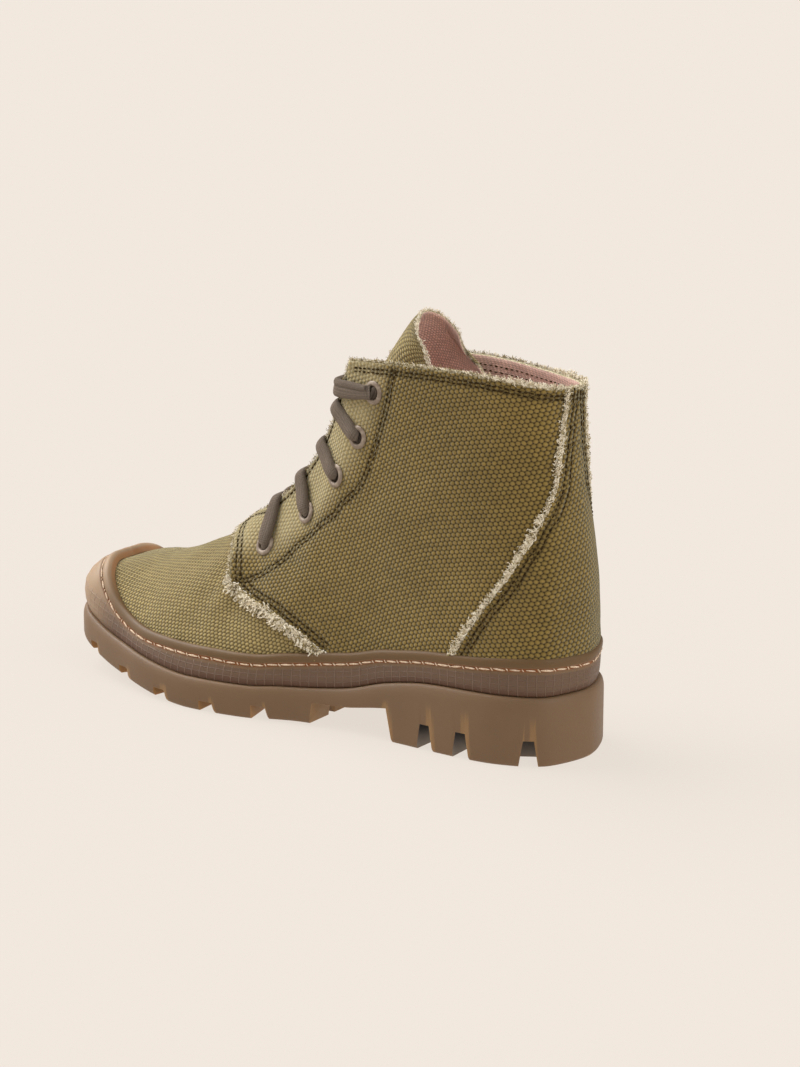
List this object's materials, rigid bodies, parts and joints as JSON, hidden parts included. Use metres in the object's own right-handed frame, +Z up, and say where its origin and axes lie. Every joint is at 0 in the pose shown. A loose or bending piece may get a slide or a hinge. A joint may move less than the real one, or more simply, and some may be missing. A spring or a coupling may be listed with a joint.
{
  "type": "ankle boot",
  "caption": "Canvas lace-up ankle boot for the left foot, hollow inside, on a lugged gum-rubber sole with a rubber sidewall and toe cap, frayed panel edges and a standing tongue",
  "frame": {"origin": "under the middle of the boot's length and width, on the floor it stands on", "axes": "+X to the toe, +Y to the outer side of this left boot, +Z up"},
  "size_m": [0.29, 0.0996, 0.1956],
  "materials": {
    "rubber": "matte gum rubber with a soft sheen",
    "canvas": "coarse plain-weave canvas with frayed edges",
    "lining": "soft cotton lining",
    "eyelet": "satin coated rings",
    "lace": "thick soft cotton"
  },
  "bodies": {
    "root": {"outsole": "rubber", "foxing": "rubber", "insole": "lining", "upper": "canvas", "quarter_outer": "canvas", "quarter_inner": "canvas", "heel_counter": "canvas", "tongue": "canvas", "eyelet_outer_1": "eyelet", "eyelet_outer_2": "eyelet", "eyelet_outer_3": "eyelet", "eyelet_outer_4": "eyelet", "eyelet_outer_5": "eyelet", "eyelet_inner_1": "eyelet", "eyelet_inner_2": "eyelet", "eyelet_inner_3": "eyelet", "eyelet_inner_4": "eyelet", "eyelet_inner_5": "eyelet", "lace_bar": "lace", "lace_cross_1": "lace", "lace_cross_2": "lace", "lace_cross_3": "lace", "lace_cross_4": "lace"}
  },
  "joints": []
}
